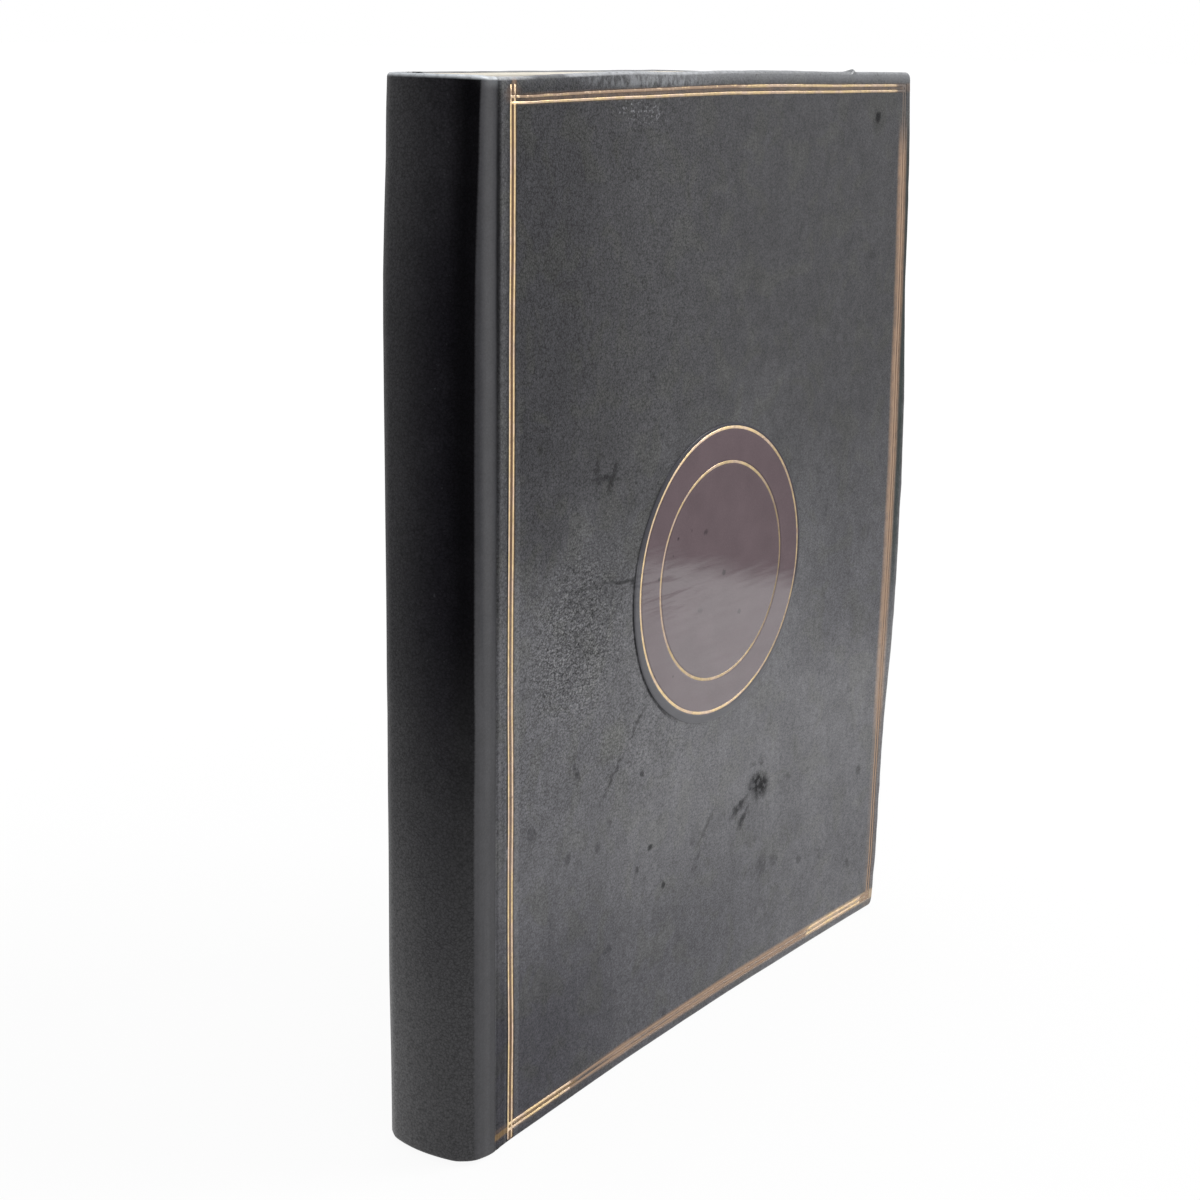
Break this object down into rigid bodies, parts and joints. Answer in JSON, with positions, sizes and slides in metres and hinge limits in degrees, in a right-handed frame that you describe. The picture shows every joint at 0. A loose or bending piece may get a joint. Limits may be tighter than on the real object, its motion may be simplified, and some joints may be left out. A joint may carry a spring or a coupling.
{
  "type": "leather-bound notebook",
  "caption": "Slim upright leather-bound notebook with flat spine, hinged covers, a gilt fillet frame, a round onlay with gilt rings and a block of vellum leaves.",
  "frame": {"origin": "centre of the book's bounding box in plan, on the surface it stands on", "axes": "+Z from tail to head, +X from spine to fore edge, +Y from front cover to back cover"},
  "size_m": [0.1694, 0.0222, 0.2104],
  "materials": {
    "leaves": "matt",
    "cover_leather": "polished goatskin, worn",
    "onlay_leather": "smooth, polished",
    "gold_leaf": "worn gilt",
    "board": "matt",
    "card": "matt",
    "endpaper": "matt",
    "mull_cloth": "open weave",
    "linen_tape": "woven"
  },
  "bodies": {
    "book_block": {"text_block": "leaves", "mull": "mull_cloth", "sewing_tape_tail": "linen_tape", "sewing_tape_middle": "linen_tape", "sewing_tape_head": "linen_tape", "spine_stiffener": "card", "spine_leather": "cover_leather", "front_flyleaf": "endpaper", "back_flyleaf": "endpaper", "front_joint_leather": "cover_leather", "back_joint_leather": "cover_leather", "front_endpaper_joint": "endpaper", "back_endpaper_joint": "endpaper"},
    "front_cover": {"front_board": "board", "front_board_infill": "card", "front_cover_leather": "cover_leather", "front_pastedown": "endpaper", "onlay_disc": "onlay_leather", "front_gilt_tooling": "gold_leaf"},
    "back_cover": {"back_board": "board", "back_board_infill": "card", "back_cover_leather": "cover_leather", "back_pastedown": "endpaper", "back_gilt_tooling": "gold_leaf"}
  },
  "joints": [
    {"name": "front_cover_hinge", "type": "hinge", "parent": "book_block", "child": "front_cover", "pos_m": [-0.07375, -0.01112, 0.105], "axis": [0, 0, -1], "range_deg": [0, 180], "deforming": ["front_joint_leather", "front_endpaper_joint"]},
    {"name": "back_cover_hinge", "type": "hinge", "parent": "book_block", "child": "back_cover", "pos_m": [-0.07375, 0.01128, 0.105], "axis": [0, 0, 1], "range_deg": [0, 180], "deforming": ["back_joint_leather", "back_endpaper_joint"]}
  ]
}
